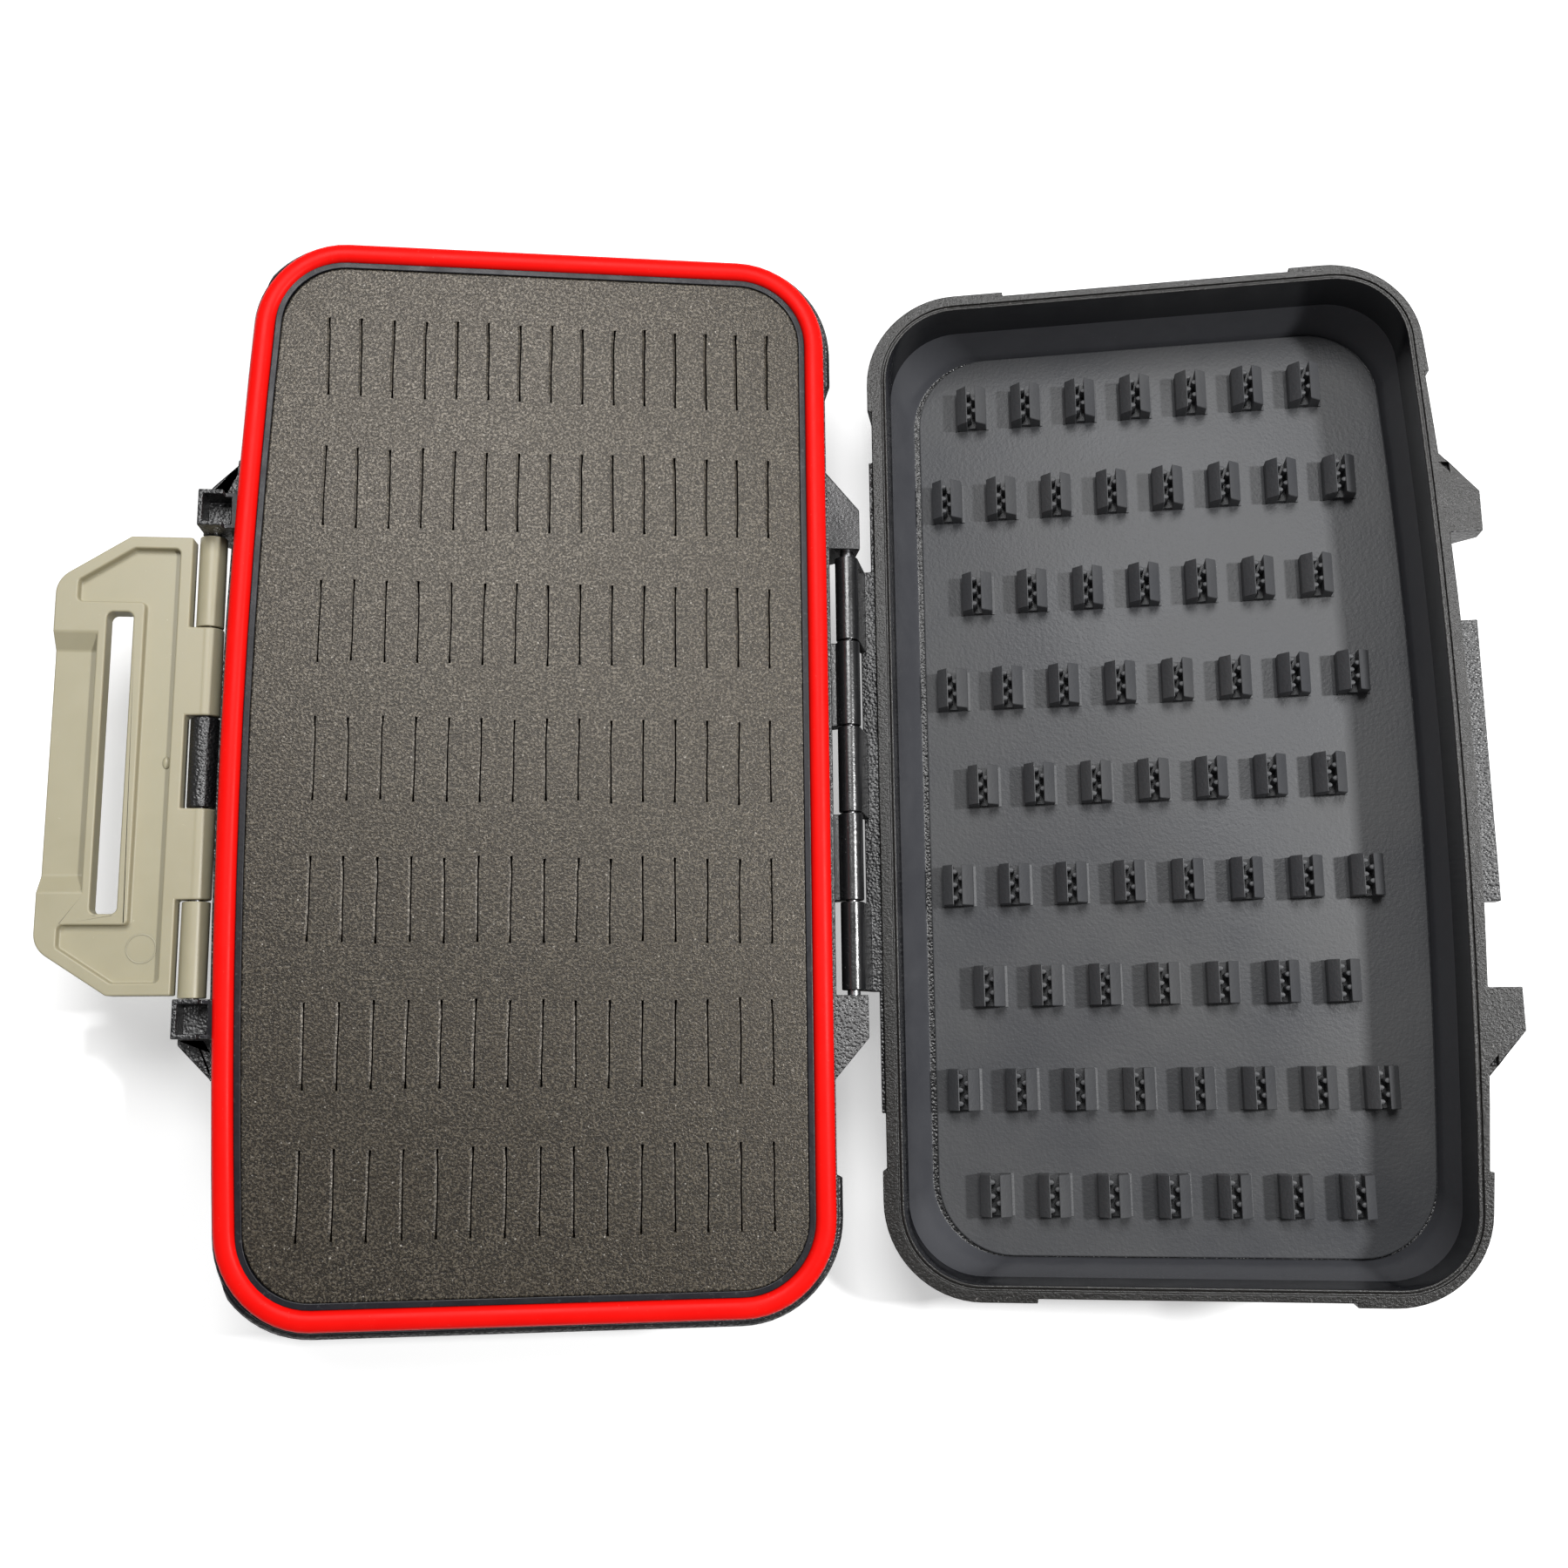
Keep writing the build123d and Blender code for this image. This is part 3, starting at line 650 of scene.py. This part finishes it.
foamBlock = planBlock("slitFoam", foam["inset"], foam["inset"], foam["inset"], foam["radius"],
                      body["floor"], foam["top"])
startEdit(foamBlock, "EDGE")
chooseEdges(foamBlock, lambda a, b: min(a.z, b.z) > foam["top"] - slack)
bpy.ops.mesh.bevel(offset=foam["edge"] * mm, segments=foam["edgeSteps"], profile=0.5, clamp_overlap=False)
endEdit()
cutters = []
for row in range(foam["rows"]):
    for column in range(foam["columns"]):
        place = (foam["shift"] + (column - (foam["columns"] - 1) / 2) * foam["pitch"],
                 (row - (foam["rows"] - 1) / 2) * foam["rowPitch"])
        cutters.append(slitCutter(place, foam["seedStep"] * row + column))
allCutters = joinAll("slitCutters", cutters)
turnFacesOut(allCutters)
useModifier(foamBlock, "slits", "BOOLEAN", operation="DIFFERENCE", solver="EXACT", object=allCutters)
bpy.data.objects.remove(allCutters)
smooth(foamBlock, foam["smoothAngle"])
dress(foamBlock, "foam")
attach(foamBlock, "base")
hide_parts("slit_foam")
print("stage: foam cut with", len(cutters), "slits")

# Hook mat with its clips, drawn in the closed lid and opened with it
mat = {
    "face": 58.5, "thickness": 1.2, "insetHinge": 8.6, "insetLatch": 5.8, "insetEnd": 6.6, "corner": 14.7,
    "edge": 0.35, "edgeSteps": 3, "smoothAngle": 30,
}
clip = {
    "rows": 9, "longRow": 8, "shortRow": 7, "pitch": 11.55, "rowPitch": 20.7, "shift": 1.6, "length": 8.3,
    "width": 6.2, "shoulder": 3.4, "top": 5.3, "sunk": 0.2, "soften": 0.14, "slot": 1.8, "slotFloor": 1.2,
    "floorMore": 0.4, "floorLess": 0.3, "foot": 0.5, "footUnder": 0.4, "footMore": 0.1, "footSlope": 0.8,
    "nubSides": 10, "nubRadius": 0.55, "nubReach": 0.8, "nubTop": 4.9, "nubOut": 0.1, "nubSoften": 0.3,
    "nubs": {-1: (-2.7, 0.0, 2.7), 1: (-1.35, 1.35)},
}
matSheet = planBlock("hookMat", mat["insetHinge"], mat["insetLatch"], mat["insetEnd"], mat["corner"],
                     mat["face"], mat["face"] + mat["thickness"])
startEdit(matSheet, "EDGE")
chooseEdges(matSheet, lambda a, b: max(a.z, b.z) < mat["face"] + slack)
bpy.ops.mesh.bevel(offset=mat["edge"] * mm, segments=mat["edgeSteps"], profile=0.5, clamp_overlap=False)
endEdit()


# Half a clip: a post with a sloping top, beside the slot
def clipHalf(side):
    outer = clip["width"] / 2
    inner = clip["slot"] / 2
    deselectAll()
    bpy.ops.mesh.primitive_cube_add(
        size=1, location=(side * (outer + inner) / 2 * mm, 0, (clip["top"] - clip["sunk"]) / 2 * mm),
        scale=((outer - inner) * mm, clip["length"] * mm, (clip["top"] + clip["sunk"]) * mm))
    half = newest("clipHalf")
    applyPlace(half)
    startEdit(half, "EDGE")
    chooseEdges(half, lambda a, b: (min(a.z, b.z) > clip["top"] - slack
                                    and min(side * a.x, side * b.x) > outer - slack))
    bpy.ops.transform.translate(value=(0, 0, (clip["shoulder"] - clip["top"]) * mm))
    bpy.ops.mesh.select_all(action="SELECT")
    bpy.ops.mesh.bevel(offset=clip["soften"] * mm, segments=1, profile=0.5)
    endEdit()
    return half


# The thin flare where a clip meets the mat
def clipFoot(side):
    outer = clip["width"] / 2
    deselectAll()
    bpy.ops.mesh.primitive_cube_add(
        size=1,
        location=(side * (outer + (clip["foot"] - clip["footUnder"]) / 2) * mm, 0, clip["foot"] / 2 * mm),
        scale=((clip["foot"] + clip["footUnder"]) * mm, clip["length"] * mm,
               (clip["foot"] + clip["footMore"]) * mm))
    foot = newest("clipFoot")
    applyPlace(foot)
    startEdit(foot, "EDGE")
    chooseEdges(foot, lambda a, b: (min(a.z, b.z) > clip["foot"] - slack
                                    and min(side * a.x, side * b.x) > outer))
    bpy.ops.transform.translate(value=(0, 0, -clip["footSlope"] * clip["foot"] * mm))
    endEdit()
    return foot


# A rounded rib on the slot's wall
def clipNub(side, along):
    deselectAll()
    bpy.ops.mesh.primitive_cylinder_add(
        vertices=clip["nubSides"], radius=clip["nubRadius"] * mm,
        depth=(clip["nubTop"] - clip["slotFloor"]) * mm,
        location=(side * (clip["slot"] / 2 - clip["nubOut"]) * mm, along * mm,
                  (clip["nubTop"] + clip["slotFloor"]) / 2 * mm))
    nub = newest("clipNub")
    nub.scale = (clip["nubReach"] / clip["nubRadius"], 1, 1)
    applyPlace(nub)
    startEdit(nub, "EDGE")
    chooseEdges(nub, lambda a, b: min(a.z, b.z) > clip["nubTop"] - slack)
    bpy.ops.mesh.bevel(offset=clip["nubSoften"] * mm, segments=2, profile=0.5)
    endEdit()
    return nub


# The floor of a clip's slot
def clipFloor():
    deselectAll()
    bpy.ops.mesh.primitive_cube_add(
        size=1, location=(0, 0, (clip["slotFloor"] - clip["sunk"]) / 2 * mm),
        scale=((clip["slot"] + clip["floorMore"]) * mm, (clip["length"] - clip["floorLess"]) * mm,
               (clip["slotFloor"] + clip["sunk"]) * mm))
    floor = newest("clipFloor")
    applyPlace(floor)
    return floor


clipParts = [clipFloor(), clipHalf(-1), clipHalf(1), clipFoot(-1), clipFoot(1)]
for side, places in clip["nubs"].items():
    clipParts += [clipNub(side, along) for along in places]
oneClip = joinAll("clip", clipParts)
clips = []
for row in range(clip["rows"]):
    count = clip["shortRow"] if row % 2 == 0 else clip["longRow"]
    for index in range(count):
        copyOfClip = duplicate(oneClip, "clip")
        spot = Vector((clip["shift"] + (index - (count - 1) / 2) * clip["pitch"],
                       (row - (clip["rows"] - 1) / 2) * clip["rowPitch"], mat["face"])) * mm
        copyOfClip.matrix_world = Matrix.Translation(spot) @ Matrix.Rotation(pi, 4, "Y")
        clips.append(copyOfClip)
bpy.data.objects.remove(oneClip)
clipCount = len(clips)
hookMat = joinAll("hookMat", [matSheet] + clips)
hookMat.matrix_world = openLid @ hookMat.matrix_world
applyPlace(hookMat)
smooth(hookMat, mat["smoothAngle"])
dress(hookMat, "mat")
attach(hookMat, "lid")
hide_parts("hook_mat")
print("stage: hook mat with", clipCount, "clips")

# Latch handle, with the mould's two marks in its recess, and its sleeves
handlePlate = softenedCopy("latch_handle", "latchHandle", softening["handle"], 3)
marks = {
    "floor": 31.5, "gate": (-66.9, -0.1), "gateRadius": 1.0, "gateScale": (0.7, 1.2, 0.42),
    "ejector": (-69.6, -34.3), "ejectorRadius": 2.6, "line": 0.16, "lineScale": (1, 1, 0.7),
}
deselectAll()
bpy.ops.mesh.primitive_uv_sphere_add(segments=20, ring_count=10, radius=marks["gateRadius"] * mm,
                                     location=(*(v * mm for v in marks["gate"]), marks["floor"] * mm))
gateMark = newest("gateMark")
gateMark.scale = marks["gateScale"]
applyPlace(gateMark)
deselectAll()
bpy.ops.mesh.primitive_torus_add(major_segments=40, minor_segments=8,
                                 major_radius=marks["ejectorRadius"] * mm, minor_radius=marks["line"] * mm,
                                 location=(*(v * mm for v in marks["ejector"]), marks["floor"] * mm))
ejectorMark = newest("ejectorMark")
ejectorMark.scale = marks["lineScale"]
applyPlace(ejectorMark)
handle = joinAll("latchHandle", [handlePlate, gateMark, ejectorMark])
smooth(handle, softening["smoothAngle"])
dress(handle, "handle")
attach(handle, "handle")
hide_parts("latch_handle")
for node, name in (("latch_sleeve_upper", "latchSleeveUpper"), ("latch_sleeve_lower", "latchSleeveLower")):
    sleeve = softenedCopy(node, name, softening["sleeve"])
    dress(sleeve, "handle")
    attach(sleeve, "base")
    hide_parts(node)
print("stage: latch handle and sleeves")

# Table, light and camera
tableSize = 6.0
deselectAll()
bpy.ops.mesh.primitive_plane_add(size=tableSize, location=(0, 0, 0))
table = newest("table")
dress(table, "floor")

lights = {
    "key": {"place": (0.50, 0.03, 0.83), "size": 0.07, "power": 5.4},
    "window": {"place": (-0.08, 0.42, 0.94), "size": 0.42, "power": 6.4},
}
aim = Vector((0.05, 0, 0.03))
for name, light in lights.items():
    lamp = bpy.data.objects.new(name, bpy.data.lights.new(name, "AREA"))
    lamp.data.shape = "SQUARE"
    lamp.data.size = light["size"]
    lamp.data.energy = light["power"]
    lamp.location = light["place"]
    lamp.rotation_euler = (aim - Vector(light["place"])).to_track_quat("-Z", "Y").to_euler()
    bpy.context.scene.collection.objects.link(lamp)

# The box sees a dim sky, and the camera a white backdrop
skyStrength = 0.17
world = bpy.data.worlds.new("studio")
bpy.context.scene.world = world
world.use_nodes = True
nodes = world.node_tree.nodes
nodes.clear()
sky = nodes.new("ShaderNodeBackground")
sky.inputs["Color"].default_value = (1, 1, 1, 1)
sky.inputs["Strength"].default_value = skyStrength
backdrop = nodes.new("ShaderNodeBackground")
backdrop.inputs["Color"].default_value = (1, 1, 1, 1)
ray = nodes.new("ShaderNodeLightPath")
mix = nodes.new("ShaderNodeMixShader")
worldOut = nodes.new("ShaderNodeOutputWorld")
world.node_tree.links.new(ray.outputs["Is Camera Ray"], mix.inputs[0])
world.node_tree.links.new(sky.outputs[0], mix.inputs[1])
world.node_tree.links.new(backdrop.outputs[0], mix.inputs[2])
world.node_tree.links.new(mix.outputs[0], worldOut.inputs[0])

view = {"place": (12.0, -52.4, 329.0), "turn": (0.1646, -0.1186, -0.0109), "lens": 36.106, "sensor": 36.0,
        "nearest": 10.0}
camera = bpy.data.objects.new("camera", bpy.data.cameras.new("camera"))
camera.data.lens = view["lens"]
camera.data.sensor_width = view["sensor"]
camera.data.clip_start = view["nearest"] * mm
camera.location = Vector(view["place"]) * mm
camera.rotation_euler = view["turn"]
bpy.context.scene.collection.objects.link(camera)
bpy.context.scene.camera = camera
bpy.context.scene.view_settings.view_transform = "Standard"
print("stage: table, light and camera")
